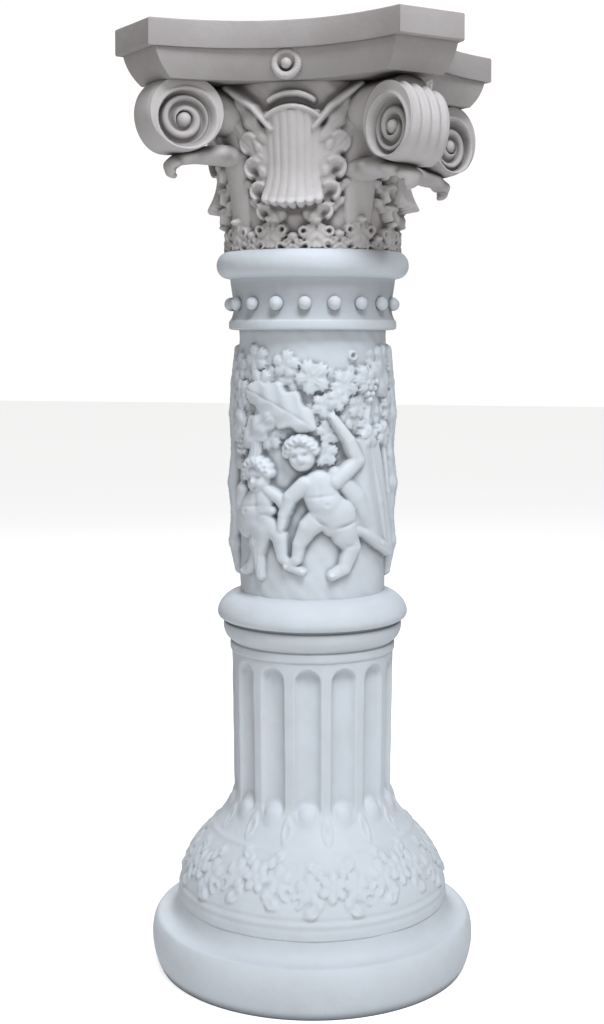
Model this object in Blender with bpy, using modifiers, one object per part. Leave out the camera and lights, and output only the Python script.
"""Column pedestal, one casting: moulded foot, fluted shaft, relief drum, beaded neck, leafy capital.

Metres, +Z up. The origin is the centre of the underside. The carved front faces -Y. An azimuth is
measured at the axis from -Y towards +X.
"""

import math
from dataclasses import dataclass

import bmesh
import bpy
import numpy as np
from mathutils import Vector

# Turned stack, from the ground up: the height of each moulding.
FOOT_HEIGHT = 0.0545
COVE_HEIGHT = 0.0125
BELL_HEIGHT = 0.113
SHAFT_HEIGHT = 0.135
FILLET_HEIGHT = 0.013
TORUS_HEIGHT = 0.0475
DRUM_HEIGHT = 0.255
LIP_HEIGHT = 0.009
NECK_HEIGHT = 0.0375
ASTRAGAL_HEIGHT = 0.028
CAPITAL_HEIGHT = 0.146
MOULDING_HEIGHT = 0.0255
SLAB_HEIGHT = 0.0235

# Turned radii.
FOOT_SOLE_RADIUS = 0.1545
FOOT_RADIUS = 0.1615
FOOT_EDGE_RADIUS = 0.1565
FOOT_FULLNESS = 0.0025
FOOT_SHOULDER = 0.08
FOOT_TUCK = 0.38
COVE_RADIUS = 0.1300
COVE_TUCK = 0.4
BELL_RADIUS = 0.1350
SHAFT_FOOT_RADIUS = 0.0784
SHAFT_HEAD_RADIUS = 0.0798
FILLET_RADIUS = 0.0818
TORUS_RADIUS = 0.0925
TORUS_GROOVE_RADIUS = 0.0865
TORUS_BEAD_RADIUS = 0.0880
DRUM_RADIUS = 0.0711
LIP_RADIUS = 0.0815
NECK_HEAD_RADIUS = 0.0795
NECK_RADIUS = 0.0770
ASTRAGAL_RADIUS = 0.0930
CAPITAL_FOOT_RADIUS = 0.0790
CAPITAL_HEAD_RADIUS = 0.0960
UNDERCUT = 0.0035
CAPITAL_FLARE = 2.2
TORUS_SHARE = 0.58
OGEE_SHOULDER = 0.33
OGEE_SWELL = 0.53
TURNED_STEPS = 36
TRIM = 0.0010
FACET_SHARE = 0.71

# Sleeves of carved surface round the turned core: overlap, spacing of the carved grid, facets kept.
SLEEVE_DEPTH = 0.0090
SLEEVE_LAP = 0.0030
BLOB_SINK = 0.25
LEAF_FULLNESS = 0.7
LEAF_MIDRIB = 0.35
GRID_STEP = 0.0025
DRUM_FACETS = 2700
SHAFT_FACETS = 1900
CAPITAL_FACETS = 1700

# Flutes of the shaft and the tongues between their feet.
FLUTE_COUNT = 14
FLUTE_AZIMUTH = math.radians(9.5)
FLUTE_WIDTH = 0.0250
FLUTE_DEPTH = 0.0062
FLUTE_HEAD_MARGIN = 0.004
FLUTE_FOOT_DROP = 0.023
TONGUE_LENGTH = 0.022
TONGUE_WIDTH = 0.010
TONGUE_RISE = 0.003

# Garland round the bell of the foot.
GARLAND_COUNT = 10
GARLAND_AZIMUTH = 22.0
GARLAND_LEVEL = 0.41
GARLAND_RISE = 0.0022
FLOWER_RADIUS = 0.0100
GARLAND_LEAF_WIDTH = 0.0140

# Beads of the neck.
BEAD_COUNT = 18
BEAD_AZIMUTH = math.radians(7.5)
BEAD_LEVEL = 0.42
BEAD_RADIUS = 0.0062

# Top slab with hollow sides and cut corners.
SLAB_HALF_WIDTH = 0.1586
SLAB_CORNER_CUT = 0.0479
SLAB_HOLLOW = 0.0405
SLAB_ARC_STEPS = 8
MOULDING_INSET = 0.0055
MOULDING_SPLAY = 0.0135

# Corner scrolls.
SCROLL_REACH = 0.1480
SCROLL_DROP = 0.0275
SCROLL_RADIUS = 0.0335
SCROLL_OUTER_HALF = 0.0165
SCROLL_INNER_HALF = 0.0340
SCROLL_RIBS = 3
SCROLL_RIB_RISE = 0.0022
SCROLL_STEPS = 12
EYE_RADIUS = 0.0245
EYE_RING = 0.0045
EYE_BUTTON_RADIUS = 0.0075
STALK_DEPTH = 0.030
CORNER_LEAF_REACH = 0.151
CORNER_LEAF_DROP = 0.072
CORNER_LEAF_WIDTH = 0.022
CORNER_LEAF_DEPTH = 0.020
# Azimuth in degrees, further drop, further reach and lean of each hand-finished corner.
CORNERS = (
    (-45.0, 0.000, 0.000, 0.00),
    (45.0, 0.015, 0.008, 0.12),
    (135.0, 0.006, 0.003, 0.05),
    (225.0, 0.003, 0.001, 0.03),
)

# Leaves of the capital.
FAN_LEAF_WIDTH = 0.058
FAN_LEAF_FOOT = 0.25
FAN_LEAF_TOP = 0.84
FAN_LEAF_TAPER = 0.78
FAN_LEAF_RISE = 0.0125
FAN_LEAF_RIBS = 5
FAN_LIP_HEIGHT = 0.016
FAN_LIP_RISE = 0.0210
FAN_ROLL_HEIGHT = 0.011
LEAF_LOBES = 5
LOBE_AZIMUTH = 25.0
LOBE_FOOT = 0.10
LOBE_TOP = 0.72
LOBE_LENGTH = 0.027
LOBE_WIDTH = 0.016
LOBE_RISE = 0.0100
FOOT_LEAF_COUNT = 16
FOOT_LEAF_LEVEL = 0.10
FOOT_LEAF_LENGTH = 0.026
FOOT_LEAF_WIDTH = 0.017
FOOT_LEAF_RISE = 0.0130
CORNER_STEM_WIDTH = 0.032
CORNER_STEM_RISE = 0.0120
ROSETTE_RADIUS = 0.0125
ROSETTE_RISE = 0.007
ROSETTE_LEVEL = 0.35

# Relief of the drum.
SCENE_COUNT = 2
HEAD_HALF_WIDTH = 0.0120
HEAD_HALF_HEIGHT = 0.0138
HEAD_RISE = 0.0108
CURL_COUNT = 7
CURL_RADIUS = 0.0056
CURL_RISE = 0.0102
TRUNK_SIZE = 0.0172
TRUNK_RISE = 0.0092
HIP_RISE = 0.0105
ARM_SIZES = (0.0098, 0.0080, 0.0060)
ARM_RISE = 0.0085
LEG_SIZES = (0.0150, 0.0112, 0.0075, 0.0056)
LEG_RISE = 0.0098
LEAF_RISE = 0.0078
GRAPE_ROWS = 3
GRAPE_RADIUS = 0.0064
GRAPE_RISE = 0.0090
GRAPE_POINT = (66.0, 0.93)
FOLD_COUNT = 5
FOLD_RISE = 0.0105
BRANCH_SIZE = 0.0140
BRANCH_RISE = 0.0110


@dataclass(frozen=True)
class Child:
    """Joints of a dancing child, each an azimuth in degrees and a share of the drum's height."""

    head: tuple
    chest: tuple
    hip: tuple
    arms: tuple
    legs: tuple


CHILDREN = (
    Child(
        head=(6.0, 0.547),
        chest=(18.0, 0.437),
        hip=(33.0, 0.325),
        arms=(
            ((24.0, 0.457), (45.0, 0.539), (29.0, 0.680)),
            ((9.0, 0.441), (-2.0, 0.300), (2.0, 0.194)),
        ),
        legs=(
            ((38.0, 0.310), (26.0, 0.240), (40.0, 0.200), (44.0, 0.195)),
            ((42.0, 0.290), (47.0, 0.192), (35.0, 0.095), (26.0, 0.072)),
        ),
    ),
    Child(
        head=(-28.0, 0.461),
        chest=(-22.0, 0.371),
        hip=(-38.0, 0.300),
        arms=(
            ((-18.0, 0.386), (-3.0, 0.343), (-7.0, 0.410)),
            ((-30.0, 0.380), (-44.0, 0.350), (-50.0, 0.420)),
        ),
        legs=(
            ((-40.0, 0.286), (-18.0, 0.245), (-33.0, 0.115), (-46.0, 0.086)),
            ((-24.0, 0.270), (-13.0, 0.215), (-7.0, 0.130), (7.0, 0.112)),
        ),
    ),
)
# Leaves of the vine: azimuth and share of the drum's height of the foot and of the tip, and width.
VINE_LEAVES = (
    ((-32.0, 0.818), (14.0, 0.645), 0.040),
    ((-2.0, 0.794), (-48.0, 0.935), 0.040),
    ((-12.0, 0.778), (0.0, 0.951), 0.030),
    ((-32.0, 0.790), (-66.0, 0.708), 0.034),
    ((-26.0, 0.731), (-62.0, 0.598), 0.034),
    ((-14.0, 0.665), (-40.0, 0.567), 0.030),
    ((34.0, 0.873), (2.0, 0.771), 0.034),
    ((14.0, 0.724), (48.0, 0.849), 0.036),
    ((8.0, 0.747), (34.0, 0.692), 0.024),
    ((58.0, 0.708), (50.0, 0.904), 0.034),
    ((58.0, 0.873), (90.0, 0.771), 0.038),
    ((60.0, 0.724), (94.0, 0.637), 0.036),
    ((116.0, 0.665), (110.0, 0.904), 0.040),
)
# Branches of the vine: azimuth and share of the drum's height of both ends.
BRANCHES = (
    ((102.0, 0.170), (98.0, 0.920)),
    ((106.0, 0.410), (120.0, 0.708)),
    ((-64.0, 0.250), (-58.0, 0.567)),
)
# Drapery behind the right child: upper edge from start to end, lower edge likewise.
DRAPE_TOP = ((48.0, 0.520), (58.0, 0.575))
DRAPE_FOOT = ((62.0, 0.200), (88.0, 0.255))

PAINT = (0.80, 0.82, 0.84, 1.0)
PAINT_ROUGHNESS = 0.62


def clear_scene() -> None:
    """Removes whatever the open file holds."""
    for obj in list(bpy.data.objects):
        bpy.data.objects.remove(obj, do_unlink=True)


def new_collection(name, hidden=False):
    """A collection in the scene; a hidden one holds helpers."""
    made = bpy.data.collections.new(name)
    made.hide_render = hidden
    bpy.context.scene.collection.children.link(made)
    return made


def painted_plaster():
    """Matt off-white paint over cast plaster."""
    made = bpy.data.materials.new("painted_plaster")
    made.use_nodes = True
    shader = made.node_tree.nodes["Principled BSDF"]
    shader.inputs["Base Color"].default_value = PAINT
    shader.inputs["Roughness"].default_value = PAINT_ROUGHNESS
    shader.inputs["Metallic"].default_value = 0.0
    return made


def stack_levels():
    """Height of the foot of each moulding above the ground, and of the top."""
    heights = {
        "foot": FOOT_HEIGHT,
        "cove": COVE_HEIGHT,
        "bell": BELL_HEIGHT,
        "shaft": SHAFT_HEIGHT,
        "fillet": FILLET_HEIGHT,
        "torus": TORUS_HEIGHT,
        "drum": DRUM_HEIGHT,
        "lip": LIP_HEIGHT,
        "neck": NECK_HEIGHT,
        "astragal": ASTRAGAL_HEIGHT,
        "capital": CAPITAL_HEIGHT,
        "moulding": MOULDING_HEIGHT,
        "slab": SLAB_HEIGHT,
    }
    levels = {}
    height = 0.0
    for name, rise in heights.items():
        levels[name] = height
        height += rise
    levels["top"] = height
    return levels


LEVEL = stack_levels()


def bezier(points, count):
    """Points of a cubic curve, both ends included."""
    a, b, c, d = points
    made = []
    for step in range(count + 1):
        t = step / count
        s = 1.0 - t
        made.append(
            tuple(
                s**3 * a[k] + 3 * s * s * t * b[k] + 3 * s * t * t * c[k] + t**3 * d[k]
                for k in (0, 1)
            )
        )
    return made


def bulge(foot, head, reach, count):
    """Half-round moulding from head down to foot, which swells out to reach."""
    middle = (foot[0] + head[0]) / 2
    fullest = math.sin(math.pi * (count // 2) / count)
    made = []
    for step in range(count + 1):
        turn = math.pi * step / count
        share = 0.5 - 0.5 * math.cos(turn)
        radius = head[0] + (foot[0] - head[0]) * share
        height = head[1] + (foot[1] - head[1]) * share
        swell = (reach - middle) * math.sin(turn) / fullest
        made.append((radius + swell, height))
    return made


def capital_radius(height):
    """Radius of the bare bell of the capital at a height."""
    share = (height - LEVEL["capital"]) / CAPITAL_HEIGHT
    share = min(max(share, 0.0), 1.0)
    return CAPITAL_FOOT_RADIUS + (CAPITAL_HEAD_RADIUS - CAPITAL_FOOT_RADIUS) * share**CAPITAL_FLARE


def shaft_radius(height):
    """Radius of the ridges of the shaft and, below it, of the foot's ogee bell, at a height."""
    if height >= LEVEL["shaft"]:
        share = (height - LEVEL["shaft"]) / SHAFT_HEIGHT
        return SHAFT_FOOT_RADIUS + (SHAFT_HEAD_RADIUS - SHAFT_FOOT_RADIUS) * share
    curve = ogee_curve(64)
    for (upper_r, upper_z), (lower_r, lower_z) in zip(curve, curve[1:]):
        if height >= lower_z:
            share = (height - lower_z) / (upper_z - lower_z)
            return lower_r + share * (upper_r - lower_r)
    return curve[-1][0]


def ogee_curve(count):
    """Outline of the foot's bell, from the shaft down to its lower edge."""
    head = (SHAFT_FOOT_RADIUS, LEVEL["shaft"])
    edge = (BELL_RADIUS, LEVEL["bell"])
    drop = (SHAFT_FOOT_RADIUS, LEVEL["shaft"] - OGEE_SHOULDER * BELL_HEIGHT)
    swell = (BELL_RADIUS, LEVEL["bell"] + OGEE_SWELL * BELL_HEIGHT)
    return bezier((head, drop, swell, edge), count)


def neck_profile():
    """Astragal, hollow neck and the lip over the drum."""
    astragal = bulge(
        (NECK_HEAD_RADIUS + UNDERCUT, LEVEL["astragal"] + UNDERCUT),
        (CAPITAL_FOOT_RADIUS + UNDERCUT, LEVEL["capital"]),
        ASTRAGAL_RADIUS,
        5,
    )
    hollow = [
        (NECK_HEAD_RADIUS, LEVEL["astragal"]),
        (NECK_RADIUS, LEVEL["neck"] + NECK_HEIGHT / 2),
        (LIP_RADIUS - UNDERCUT / 2, LEVEL["neck"] + UNDERCUT),
    ]
    lip = [
        (LIP_RADIUS, LEVEL["neck"]),
        (LIP_RADIUS, LEVEL["lip"] + LIP_HEIGHT / 2),
        (DRUM_RADIUS - SLEEVE_DEPTH, LEVEL["lip"]),
    ]
    return astragal + hollow + lip


def torus_profile():
    """Middle moulding: a torus, a groove, a smaller bead and a fillet."""
    split = LEVEL["drum"] - TORUS_SHARE * TORUS_HEIGHT
    torus = [(DRUM_RADIUS - SLEEVE_DEPTH, LEVEL["drum"])]
    torus += bulge(
        (TORUS_GROOVE_RADIUS + UNDERCUT / 2, split),
        (DRUM_RADIUS + SLEEVE_LAP, LEVEL["drum"]),
        TORUS_RADIUS,
        5,
    )
    bead = bulge(
        (FILLET_RADIUS - UNDERCUT / 2, LEVEL["torus"] + UNDERCUT),
        (TORUS_GROOVE_RADIUS, split - UNDERCUT / 2),
        TORUS_BEAD_RADIUS,
        4,
    )
    fillet = [
        (FILLET_RADIUS, LEVEL["torus"] - UNDERCUT / 2),
        (FILLET_RADIUS, LEVEL["fillet"] + UNDERCUT),
    ]
    return torus + bead + fillet


def foot_profile():
    """Cove and torus of the foot, down to the underside."""
    cove = [
        (COVE_RADIUS, LEVEL["bell"] + SLEEVE_LAP),
        (COVE_RADIUS, LEVEL["cove"] + COVE_TUCK * COVE_HEIGHT),
        (COVE_RADIUS + COVE_TUCK * (FOOT_EDGE_RADIUS - COVE_RADIUS), LEVEL["cove"]),
    ]
    torus = bezier(
        (
            (FOOT_EDGE_RADIUS, LEVEL["cove"]),
            (FOOT_RADIUS + FOOT_FULLNESS, (1.0 - FOOT_SHOULDER) * LEVEL["cove"]),
            (FOOT_RADIUS + FOOT_FULLNESS, FOOT_TUCK * LEVEL["cove"]),
            (FOOT_SOLE_RADIUS, 0.0),
        ),
        6,
    )
    return cove + torus + [(FOOT_SOLE_RADIUS, -TRIM)]


def turned_core(collection):
    """The turned body from the capital's head to the underside."""
    head = [(CAPITAL_FOOT_RADIUS - SLEEVE_DEPTH, LEVEL["moulding"] + MOULDING_HEIGHT / 2)]
    head.append((CAPITAL_FOOT_RADIUS - SLEEVE_DEPTH, LEVEL["capital"]))
    shaft = [
        (SHAFT_FOOT_RADIUS - SLEEVE_DEPTH, LEVEL["fillet"]),
        (SHAFT_FOOT_RADIUS - SLEEVE_DEPTH, LEVEL["bell"] + SLEEVE_LAP),
    ]
    outline = head + neck_profile() + torus_profile() + shaft + foot_profile()
    points = [(0.0, outline[0][1])]
    for point in outline:
        if math.dist(point, points[-1]) > 1e-5:
            points.append(point)
    points.append((0.0, outline[-1][1]))
    mesh = bpy.data.meshes.new("column_pedestal")
    edges = [(index, index + 1) for index in range(len(points) - 1)]
    mesh.from_pydata([(radius, 0.0, height) for radius, height in points], edges, [])
    core = bpy.data.objects.new("column_pedestal", mesh)
    collection.objects.link(core)
    screw = core.modifiers.new("turned", "SCREW")
    screw.steps = TURNED_STEPS
    screw.render_steps = TURNED_STEPS
    screw.use_merge_vertices = True
    screw.merge_threshold = 0.00005
    screw.use_smooth_shade = True
    return core


def around(azimuth, radius, height):
    """World point at an azimuth, a distance from the axis and a height."""
    return Vector((radius * math.sin(azimuth), -radius * math.cos(azimuth), height))


class Carving:
    """Closed bodies that are joined with the turned body."""

    def __init__(self, name):
        self.name = name
        self.mesh = bmesh.new()

    def hull(self, points):
        """Convex body through a few world points."""
        verts = [self.mesh.verts.new(point) for point in points]
        made = bmesh.ops.convex_hull(self.mesh, input=verts)
        spare = [item for item in made["geom_interior"] if isinstance(item, bmesh.types.BMVert)]
        bmesh.ops.delete(self.mesh, geom=spare, context="VERTS")

    def finish(self, collection):
        """The bodies as one hidden helper object."""
        bmesh.ops.recalc_face_normals(self.mesh, faces=self.mesh.faces)
        mesh = bpy.data.meshes.new(self.name)
        self.mesh.to_mesh(mesh)
        self.mesh.free()
        made = bpy.data.objects.new(self.name, mesh)
        made.hide_render = True
        made.display_type = "WIRE"
        collection.objects.link(made)
        return made


class Surface:
    """Rise of a carved surface over its ground, sampled on a grid of azimuth and height.

    A point of a carving is an azimuth in degrees and a share of the height of the band it is on.
    """

    def __init__(self, azimuth, height, radius, band):
        self.azimuth = azimuth
        self.height = height
        self.radius = radius
        self.foot, self.tall = band
        self.rise = np.zeros_like(azimuth)

    def offsets(self, degrees, share):
        """Distances round the column and up it from a point, in metres."""
        turn = self.azimuth - math.radians(degrees)
        turn = (turn + math.pi) % math.tau - math.pi
        return turn * self.radius, self.height - self.foot - share * self.tall

    def line(self, start, end):
        """Distances along the line between two points and aside of it, and its length, in metres."""
        x, y = self.offsets(*start)
        dx = math.radians(end[0] - start[0]) * float(np.median(self.radius))
        dy = (end[1] - start[1]) * self.tall
        length = math.hypot(dx, dy)
        return (x * dx + y * dy) / length, (y * dx - x * dy) / length, length

    def raise_to(self, rise):
        """Keeps the higher of the surface so far and a new form."""
        self.rise = np.maximum(self.rise, rise)

    def blob(self, point, across, along, rise, turn=0.0):
        """Half-buried ellipsoid with half sizes across and along, turned in the surface."""
        x, y = self.offsets(*point)
        cosine = math.cos(math.radians(turn))
        sine = math.sin(math.radians(turn))
        u = (x * cosine + y * sine) / across
        v = (-x * sine + y * cosine) / along
        dome = np.sqrt(np.maximum(0.0, 1.0 - u * u - v * v))
        self.raise_to(rise * ((1 + BLOB_SINK) * dome - BLOB_SINK))

    def limb(self, start, end, sizes, rises):
        """Rounded bar between two points, with the half width and the rise at each."""
        along, aside, length = self.line(start, end)
        share = np.clip(along / length, 0.0, 1.0)
        apart = np.hypot(along - share * length, aside)
        size = sizes[0] + share * (sizes[1] - sizes[0])
        rise = rises[0] + share * (rises[1] - rises[0])
        dome = np.sqrt(np.maximum(0.0, 1.0 - (apart / size) ** 2))
        self.raise_to(rise * ((1 + BLOB_SINK) * dome - BLOB_SINK))

    def chain(self, joints, sizes, rise):
        """Limbs from joint to joint, each with its half width."""
        for start, end, from_size, to_size in zip(joints, joints[1:], sizes, sizes[1:]):
            self.limb(start, end, (from_size, to_size), (rise, rise))

    def leaf(self, foot, tip, width, rise):
        """Pointed leaf with a raised midrib, from foot to tip."""
        along, aside, length = self.line(foot, tip)
        share = along / length
        inside = (share > 0.0) & (share < 1.0)
        half = width / 2 * np.sin(math.pi * np.clip(share, 0.0, 1.0)) ** LEAF_FULLNESS
        across = np.abs(aside) / np.maximum(half, TRIM)
        body = rise * (1.0 - across**2) * (1.0 - LEAF_MIDRIB * across)
        self.raise_to(np.where(inside & (across < 1.0), body, 0.0))


def sleeve(name, ends, band, ground, carve, facets, collection):
    """Closed body of revolution between two heights with a carved surface, thinned to a few facets."""
    low, high = ends
    widest = max(ground(low), ground(high))
    columns = int(math.tau * widest / GRID_STEP)
    rows = max(2, int((high - low) / GRID_STEP))
    mesh = bmesh.new()
    wire = [mesh.verts.new((widest, 0.0, low + (high - low) * row / rows)) for row in range(rows + 1)]
    edges = [mesh.edges.new(pair) for pair in zip(wire, wire[1:])]
    bmesh.ops.spin(
        mesh,
        geom=wire + edges,
        cent=(0.0, 0.0, 0.0),
        axis=(0.0, 0.0, 1.0),
        angle=math.tau,
        steps=columns,
        use_merge=True,
    )
    bmesh.ops.holes_fill(mesh, edges=[edge for edge in mesh.edges if edge.is_boundary])
    bmesh.ops.recalc_face_normals(mesh, faces=mesh.faces)
    verts = list(mesh.verts)
    azimuth = np.array([math.atan2(vert.co.x, -vert.co.y) for vert in verts])
    height = np.array([vert.co.z for vert in verts])
    radius = np.interp(height, *sampled(ground, low, high))
    surface = Surface(azimuth, height, radius, band)
    carve(surface)
    radius = radius + surface.rise
    for vert, turn, reach in zip(verts, azimuth, radius):
        vert.co.x = reach * math.sin(turn)
        vert.co.y = -reach * math.cos(turn)
    made = bpy.data.meshes.new(name)
    mesh.to_mesh(made)
    count = 2 * columns * rows
    mesh.free()
    body = bpy.data.objects.new(name, made)
    body.hide_render = True
    body.display_type = "WIRE"
    collection.objects.link(body)
    thin = body.modifiers.new("facets", "DECIMATE")
    thin.ratio = facets / count
    return body


def sampled(function, low, high, count=200):
    """Heights and the function's values at them, for interpolation."""
    heights = np.linspace(low, high, count)
    return heights, np.array([function(height) for height in heights])


def carve_shaft(surface):
    """Flutes with rounded ends, and tongues under the ridges between them."""
    head = LEVEL["fillet"] - FLUTE_HEAD_MARGIN - surface.foot
    foot = LEVEL["shaft"] - FLUTE_FOOT_DROP - surface.foot
    half = FLUTE_WIDTH / 2
    bed = np.zeros_like(surface.rise)
    for index in range(FLUTE_COUNT):
        degrees = math.degrees(FLUTE_AZIMUTH + index * math.tau / FLUTE_COUNT)
        x, y = surface.offsets(degrees, 0.0)
        beyond = np.maximum(y - (head - half), (foot + half) - y)
        apart = np.hypot(x, np.maximum(beyond, 0.0)) / half
        bed = np.maximum(bed, np.sqrt(np.maximum(0.0, 1.0 - apart**2)))
    deepest = SHAFT_FOOT_RADIUS - FLUTE_DEPTH
    surface.rise = bed * (deepest - surface.radius)
    for index in range(FLUTE_COUNT):
        degrees = math.degrees(FLUTE_AZIMUTH + (index + 0.5) * math.tau / FLUTE_COUNT)
        x, y = surface.offsets(degrees, foot / surface.tall)
        apart = np.hypot(x / (TONGUE_WIDTH / 2), y / (TONGUE_LENGTH / 2))
        surface.rise = surface.rise + TONGUE_RISE * np.sqrt(np.maximum(0.0, 1.0 - apart**2))


def carve_garland(surface):
    """Low flowers with a leaf on each side round the foot's bell."""
    carved = surface.rise
    surface.rise = np.zeros_like(carved)
    pitch = 360.0 / GARLAND_COUNT
    for index in range(GARLAND_COUNT):
        degrees = GARLAND_AZIMUTH + index * pitch
        surface.blob((degrees, GARLAND_LEVEL), FLOWER_RADIUS, FLOWER_RADIUS, GARLAND_RISE)
        for side in (-1, 1):
            foot = (degrees + side * pitch * 0.14, GARLAND_LEVEL)
            tip = (degrees + side * pitch * 0.46, GARLAND_LEVEL + side * 0.08)
            surface.leaf(foot, tip, GARLAND_LEAF_WIDTH, GARLAND_RISE)
    surface.rise = carved + surface.rise


def carve_foot(surface):
    """Everything carved on the shaft and on the bell of the foot."""
    carve_shaft(surface)
    carve_garland(surface)


def shaft_sleeve(collection):
    """Fluted shaft and the bell under it."""
    ends = (LEVEL["bell"], LEVEL["fillet"] + SLEEVE_LAP)
    band = (LEVEL["bell"], BELL_HEIGHT)
    return sleeve("shaft_sleeve", ends, band, shaft_radius, carve_foot, SHAFT_FACETS, collection)


def turned(point, turn):
    """A point of the relief, turned round the drum."""
    return (point[0] + turn, point[1])


def carve_child(surface, child, turn):
    """Trunk, arms, legs, head and curls of one dancing child."""
    chest = turned(child.chest, turn)
    hip = turned(child.hip, turn)
    surface.limb(chest, hip, (TRUNK_SIZE, TRUNK_SIZE), (TRUNK_RISE, HIP_RISE))
    for arm in child.arms:
        surface.chain([turned(joint, turn) for joint in arm], ARM_SIZES, ARM_RISE)
    for leg in child.legs:
        surface.chain([turned(joint, turn) for joint in leg], LEG_SIZES, LEG_RISE)
    head = turned(child.head, turn)
    surface.blob(head, HEAD_HALF_WIDTH, HEAD_HALF_HEIGHT, HEAD_RISE)
    across = math.degrees(HEAD_HALF_WIDTH / DRUM_RADIUS)
    up = HEAD_HALF_HEIGHT / DRUM_HEIGHT
    for curl in range(CURL_COUNT):
        angle = math.pi * curl / (CURL_COUNT - 1)
        point = (head[0] + across * math.cos(angle), head[1] + up * (0.15 + math.sin(angle)))
        surface.blob(point, CURL_RADIUS, CURL_RADIUS, CURL_RISE)


def carve_grapes(surface, turn):
    """Bunch of grapes that narrows downwards."""
    pitch = math.degrees(1.5 * GRAPE_RADIUS / DRUM_RADIUS)
    drop = 1.5 * GRAPE_RADIUS / DRUM_HEIGHT
    for row in range(GRAPE_ROWS):
        count = GRAPE_ROWS - row
        for column in range(count):
            aside = pitch * (column - (count - 1) / 2)
            point = (GRAPE_POINT[0] + aside + turn, GRAPE_POINT[1] - drop * row)
            surface.blob(point, GRAPE_RADIUS, GRAPE_RADIUS, GRAPE_RISE)


def between(first, second, share):
    """Point at a share of the way from the first to the second."""
    return tuple(a + share * (b - a) for a, b in zip(first, second))


def carve_drapery(surface, turn):
    """Folds that hang and spread from the raised arm of the right child."""
    for fold in range(FOLD_COUNT):
        share = fold / (FOLD_COUNT - 1)
        start = turned(between(*DRAPE_TOP, share), turn)
        end = turned(between(*DRAPE_FOOT, share), turn)
        surface.limb(start, end, (ARM_SIZES[2], ARM_SIZES[1]), (FOLD_RISE / 2, FOLD_RISE))


def carve_drum(surface):
    """The relief scene, repeated round the drum."""
    for scene in range(SCENE_COUNT):
        turn = scene * 360.0 / SCENE_COUNT
        for foot, tip, width in VINE_LEAVES:
            surface.leaf(turned(foot, turn), turned(tip, turn), width, LEAF_RISE)
        for foot, tip in BRANCHES:
            sizes = (BRANCH_SIZE, BRANCH_SIZE * 0.75)
            surface.limb(turned(foot, turn), turned(tip, turn), sizes, (BRANCH_RISE, BRANCH_RISE))
        carve_grapes(surface, turn)
        carve_drapery(surface, turn)
        for child in CHILDREN:
            carve_child(surface, child, turn)


def drum_sleeve(collection):
    """Relief drum."""
    ends = (LEVEL["drum"] - SLEEVE_LAP, LEVEL["lip"] + SLEEVE_LAP)
    band = (LEVEL["drum"], DRUM_HEIGHT)
    return sleeve(
        "drum_sleeve", ends, band, lambda height: DRUM_RADIUS, carve_drum, DRUM_FACETS, collection
    )


def carve_capital(surface):
    """Leaves round the foot, fan leaf and side lobes on each face, and a stem up each corner."""
    for index in range(FOOT_LEAF_COUNT):
        degrees = (index + 0.5) * 360.0 / FOOT_LEAF_COUNT
        sizes = (FOOT_LEAF_WIDTH / 2, FOOT_LEAF_LENGTH / 2)
        surface.blob((degrees, FOOT_LEAF_LEVEL), *sizes, FOOT_LEAF_RISE)
    for face in range(4):
        degrees = face * 90.0
        fan_leaf(surface, degrees)
        side_lobes(surface, degrees)
        stem = ((degrees + 45.0, FOOT_LEAF_LEVEL), (degrees + 45.0, LOBE_TOP))
        sizes = (CORNER_STEM_WIDTH * 0.4, CORNER_STEM_WIDTH / 2)
        surface.limb(*stem, sizes, (CORNER_STEM_RISE / 3, CORNER_STEM_RISE))


def fan_leaf(surface, degrees):
    """Ribbed leaf in the middle of one face, with a roll across its top and a lip curled out at its foot."""
    half = math.degrees(FAN_LEAF_WIDTH / 2 / CAPITAL_FOOT_RADIUS)
    pitch = FAN_LEAF_WIDTH / FAN_LEAF_RIBS
    body = FAN_LEAF_RISE * FAN_LEAF_TAPER
    sizes = (FAN_LEAF_WIDTH * FAN_LEAF_TAPER / 2, FAN_LEAF_WIDTH / 2)
    surface.limb((degrees, FAN_LEAF_FOOT), (degrees, FAN_LEAF_TOP), sizes, (body, body))
    for rib in range(FAN_LEAF_RIBS):
        share = (2 * rib + 1) / FAN_LEAF_RIBS - 1
        foot = (degrees + share * half * FAN_LEAF_TAPER, FAN_LEAF_FOOT)
        top = (degrees + share * half, FAN_LEAF_TOP)
        sizes = (pitch * FAN_LEAF_TAPER * 0.55, pitch * 0.55)
        surface.limb(foot, top, sizes, (FAN_LEAF_RISE, FAN_LEAF_RISE))
    lip = FAN_LIP_HEIGHT / CAPITAL_HEIGHT
    width = FAN_LEAF_WIDTH * FAN_LEAF_TAPER / 2
    surface.blob((degrees, FAN_LEAF_FOOT + lip / 4), width, FAN_LIP_HEIGHT, FAN_LIP_RISE)
    sizes = (FAN_ROLL_HEIGHT / 2, FAN_ROLL_HEIGHT / 2)
    ends = ((degrees - half, FAN_LEAF_TOP), (degrees + half, FAN_LEAF_TOP))
    surface.limb(*ends, sizes, (CORNER_STEM_RISE, CORNER_STEM_RISE))


def side_lobes(surface, degrees):
    """Curling lobes of the leaf on both sides of the fan."""
    for side in (-1, 1):
        for lobe in range(LEAF_LOBES):
            share = lobe / (LEAF_LOBES - 1)
            swing = LOBE_AZIMUTH * (1 + 0.3 * math.sin(math.pi * share))
            point = (degrees + side * swing, LOBE_FOOT + share * (LOBE_TOP - LOBE_FOOT))
            surface.blob(point, LOBE_WIDTH / 2, LOBE_LENGTH / 2, LOBE_RISE, side * 50.0)


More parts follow.
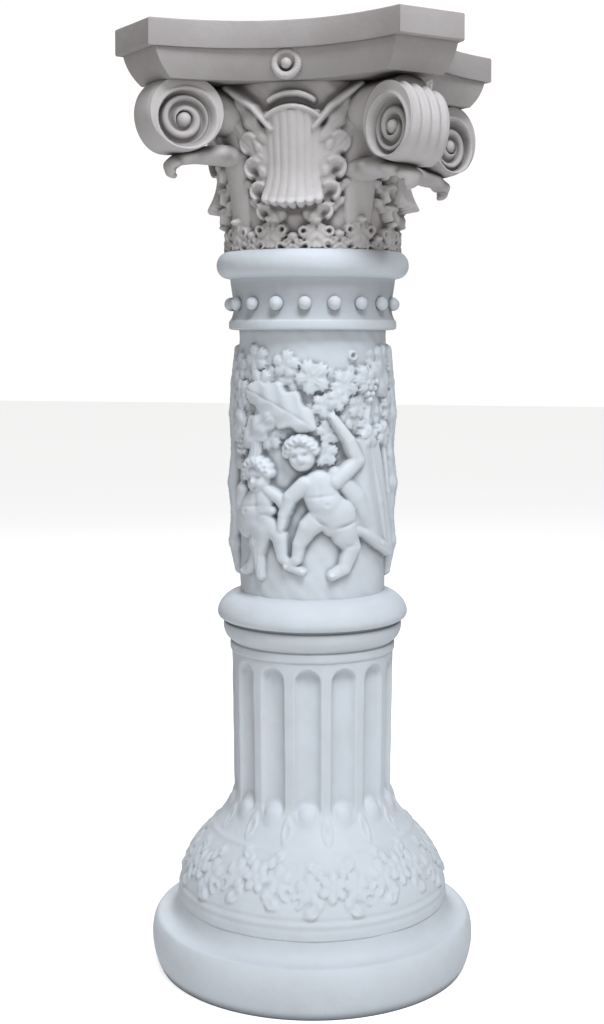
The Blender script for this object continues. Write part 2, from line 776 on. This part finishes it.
def capital_sleeve(collection):
    """Leafy bell of the capital."""
    ends = (LEVEL["capital"] - SLEEVE_LAP, LEVEL["moulding"] + SLEEVE_LAP)
    band = (LEVEL["capital"], CAPITAL_HEIGHT)
    return sleeve("capital_sleeve", ends, band, capital_radius, carve_capital, CAPITAL_FACETS, collection)


def neck_beads(carving):
    """Row of round beads in the hollow of the neck."""
    height = LEVEL["neck"] + BEAD_LEVEL * NECK_HEIGHT
    for index in range(BEAD_COUNT):
        azimuth = BEAD_AZIMUTH + index * math.tau / BEAD_COUNT

        def place(across, proud, up, turn=azimuth):
            return around(turn + across / NECK_RADIUS, NECK_RADIUS + proud, height + up)

        sections = (
            (BEAD_RADIUS, -BEAD_RADIUS / 2),
            (BEAD_RADIUS, BEAD_RADIUS * 0.3),
            (BEAD_RADIUS * 0.5, BEAD_RADIUS * 0.85),
        )
        revolve(carving, sections, 6, place)


def hollow_square(half_width, corner_cut, hollow):
    """Outline of the top: cut corners and sides hollowed to arcs, anticlockwise from the front left."""
    reach = half_width - corner_cut
    points = []
    for side in range(4):
        quarter = side * math.pi / 2
        for step in range(SLAB_ARC_STEPS + 1):
            share = 2 * step / SLAB_ARC_STEPS - 1
            across = share * reach
            depth = half_width - hollow * (1 - share * share)
            points.append(
                (
                    across * math.cos(quarter) + depth * math.sin(quarter),
                    across * math.sin(quarter) - depth * math.cos(quarter),
                )
            )
    return points


def top_slab(collection):
    """Slab with the tapered moulding under it, as one hidden helper object."""
    outline = hollow_square(SLAB_HALF_WIDTH, SLAB_CORNER_CUT, SLAB_HOLLOW)
    upper = SLAB_HALF_WIDTH - MOULDING_INSET
    lower = upper - MOULDING_SPLAY
    sections = (
        (1.0, LEVEL["top"] + TRIM),
        (1.0, LEVEL["slab"]),
        (upper / SLAB_HALF_WIDTH, LEVEL["slab"]),
        (lower / SLAB_HALF_WIDTH, LEVEL["moulding"]),
    )
    mesh = bmesh.new()
    rings = []
    for scale, height in sections:
        rings.append([mesh.verts.new((x * scale, y * scale, height)) for x, y in outline])
    mesh.faces.new(rings[0])
    mesh.faces.new(list(reversed(rings[-1])))
    for above, below in zip(rings, rings[1:]):
        for index, vert in enumerate(above):
            following = (index + 1) % len(above)
            mesh.faces.new((vert, below[index], below[following], above[following]))
    made = bpy.data.meshes.new("top_slab")
    bmesh.ops.recalc_face_normals(mesh, faces=mesh.faces)
    mesh.to_mesh(made)
    mesh.free()
    slab = bpy.data.objects.new("top_slab", made)
    slab.hide_render = True
    slab.display_type = "WIRE"
    collection.objects.link(slab)
    return slab


def revolve(carving, sections, steps, place, ring=False):
    """Turned body from sections of radius and offset along its axis; place puts a point in the world."""
    rings = []
    for radius, aside in sections:
        ring_points = []
        for step in range(steps):
            turn = math.tau * step / steps
            ring_points.append(
                carving.mesh.verts.new(place(radius * math.cos(turn), aside, radius * math.sin(turn)))
            )
        rings.append(ring_points)
    pairs = list(zip(rings, rings[1:]))
    if ring:
        pairs.append((rings[-1], rings[0]))
    else:
        carving.mesh.faces.new(rings[0])
        carving.mesh.faces.new(rings[-1])
    for first, second in pairs:
        for index in range(steps):
            following = (index + 1) % steps
            carving.mesh.faces.new(
                (first[index], first[following], second[following], second[index])
            )


def flat_ends(collection):
    """Box that trims the underside and the top flat."""
    mesh = bmesh.new()
    bmesh.ops.create_cube(mesh, size=1.0)
    width = 3 * SLAB_HALF_WIDTH
    bmesh.ops.scale(mesh, vec=(width, width, LEVEL["top"]), verts=mesh.verts)
    bmesh.ops.translate(mesh, vec=(0.0, 0.0, LEVEL["top"] / 2), verts=mesh.verts)
    made = bpy.data.meshes.new("flat_ends")
    mesh.to_mesh(made)
    mesh.free()
    box = bpy.data.objects.new("flat_ends", made)
    box.hide_render = True
    box.display_type = "WIRE"
    collection.objects.link(box)
    return box


class CornerScroll:
    """Frame of one corner's roll: along points outwards, aside round the column, up upwards."""

    def __init__(self, degrees, drop, reach, lean):
        azimuth = math.radians(degrees)
        self.azimuth = azimuth
        self.outward = around(azimuth, 1.0, 0.0)
        self.sideways = Vector((math.cos(azimuth), math.sin(azimuth), 0.0))
        self.reach = SCROLL_REACH + reach
        self.height = LEVEL["moulding"] - SCROLL_DROP - drop
        self.lean = lean

    def half_width(self, along):
        """The roll is narrow outside and wide towards the bell."""
        share = 0.5 - 0.5 * along / SCROLL_RADIUS
        return SCROLL_OUTER_HALF + share * (SCROLL_INNER_HALF - SCROLL_OUTER_HALF)

    def place(self, along, aside, up):
        """World point from an offset along, a plain offset aside and an offset up."""
        return (
            self.outward * (self.reach + along)
            + self.sideways * aside
            + Vector((0.0, 0.0, self.height + up - self.lean * aside))
        )

    def roll(self, carving):
        """Ribbed roll."""
        stations = 2 * SCROLL_RIBS
        sections = []
        for station in range(stations + 1):
            rise = SCROLL_RIB_RISE if station % 2 else 0.0
            sections.append((SCROLL_RADIUS - SCROLL_RIB_RISE + rise, 2 * station / stations - 1))
        revolve(
            carving,
            sections,
            SCROLL_STEPS,
            lambda along, share, up: self.place(along, share * self.half_width(along), up),
        )

    def eye(self, carving, side):
        """Raised ring and button on one end of the roll."""

        def on_end(along, proud, up):
            return self.place(along, side * (self.half_width(along) + proud), up)

        sections = (
            (EYE_RADIUS, -EYE_RING),
            (EYE_RADIUS, EYE_RING),
            (EYE_RADIUS - 1.5 * EYE_RING, EYE_RING),
            (EYE_RADIUS - 2 * EYE_RING, -EYE_RING),
        )
        revolve(carving, sections, 10, on_end, ring=True)
        button = (
            (EYE_BUTTON_RADIUS, -EYE_RING),
            (EYE_BUTTON_RADIUS, EYE_RING / 2),
            (EYE_BUTTON_RADIUS / 2, EYE_RING * 1.2),
        )
        revolve(carving, button, 5, on_end)

    def stalks(self, carving):
        """Neck that leads over the top from the bell, and the leaf that holds the roll from below."""
        inner = CAPITAL_FOOT_RADIUS - self.reach
        top = LEVEL["moulding"] - self.height
        neck = []
        for along, half, up in (
            (inner, SCROLL_INNER_HALF * 0.8, top + SLEEVE_LAP),
            (inner, SCROLL_INNER_HALF * 0.5, top - STALK_DEPTH),
            (0.0, SCROLL_OUTER_HALF, SCROLL_RADIUS * 0.5),
            (-SCROLL_RADIUS * 0.6, SCROLL_OUTER_HALF, -SCROLL_RADIUS * 0.3),
            (SCROLL_RADIUS * 0.2, SCROLL_OUTER_HALF, max(top + SLEEVE_LAP, SCROLL_RADIUS)),
        ):
            neck.append(self.place(along, -half, up))
            neck.append(self.place(along, half, up))
        carving.hull(neck)
        tip = CORNER_LEAF_REACH - SCROLL_REACH
        low = SCROLL_DROP - CORNER_LEAF_DROP
        half = CORNER_LEAF_WIDTH / 2
        leaf = []
        for along, aside, up in (
            (inner, half, low - CORNER_LEAF_DEPTH),
            (inner, half, low),
            (inner * 0.55, half, low - CORNER_LEAF_DEPTH * 0.1),
            (inner * 0.45, half, low + CORNER_LEAF_DEPTH),
            (tip * 0.5, half * 0.8, low + CORNER_LEAF_DEPTH * 0.7),
            (tip, half * 0.4, low + CORNER_LEAF_DEPTH * 0.15),
            (tip - CORNER_LEAF_DEPTH / 2, half * 0.8, low),
        ):
            leaf.append(self.place(along, -aside, up))
            leaf.append(self.place(along, aside, up))
        carving.hull(leaf)


def capital_scrolls(carving):
    """The four corner scrolls."""
    for corner in CORNERS:
        scroll = CornerScroll(*corner)
        scroll.roll(carving)
        scroll.eye(carving, -1)
        scroll.eye(carving, 1)
        scroll.stalks(carving)


def rosette(carving, azimuth):
    """Ringed button on the middle of one side of the top."""
    depth = SLAB_HALF_WIDTH - SLAB_HOLLOW - MOULDING_INSET - MOULDING_SPLAY / 2
    height = LEVEL["moulding"] + ROSETTE_LEVEL * MOULDING_HEIGHT
    outward = around(azimuth, 1.0, 0.0)
    sideways = Vector((math.cos(azimuth), math.sin(azimuth), 0.0))

    def place(across, proud, up):
        return outward * (depth + proud) + sideways * across + Vector((0.0, 0.0, height + up))

    sections = (
        (ROSETTE_RADIUS, -ROSETTE_RISE),
        (ROSETTE_RADIUS, ROSETTE_RISE),
        (ROSETTE_RADIUS * 0.7, ROSETTE_RISE),
        (ROSETTE_RADIUS * 0.55, ROSETTE_RISE * 0.3),
        (ROSETTE_RADIUS * 0.4, ROSETTE_RISE * 0.3),
        (ROSETTE_RADIUS * 0.3, ROSETTE_RISE),
    )
    revolve(carving, sections, 8, place)


def capital_faces(carving):
    """Rosettes of the four faces."""
    for face in range(4):
        azimuth = face * math.pi / 2
        rosette(carving, azimuth)


def build():
    """Makes the pedestal."""
    clear_scene()
    collection = new_collection("column_pedestal")
    helpers = new_collection("helpers", hidden=True)
    core = turned_core(collection)
    core.data.materials.append(painted_plaster())
    carving = Carving("carving")
    neck_beads(carving)
    capital_scrolls(carving)
    capital_faces(carving)
    for label, operand in (
        ("drum", drum_sleeve(helpers)),
        ("shaft", shaft_sleeve(helpers)),
        ("capital", capital_sleeve(helpers)),
        ("slab", top_slab(helpers)),
        ("carving", carving.finish(helpers)),
    ):
        boolean = core.modifiers.new(label, "BOOLEAN")
        boolean.object = operand
        boolean.operation = "UNION"
        boolean.solver = "EXACT"
        boolean.use_self = label == "carving"
    thin = core.modifiers.new("facets", "DECIMATE")
    thin.ratio = FACET_SHARE
    flats = core.modifiers.new("flats", "BOOLEAN")
    flats.object = flat_ends(helpers)
    flats.operation = "INTERSECT"
    flats.solver = "EXACT"


build()
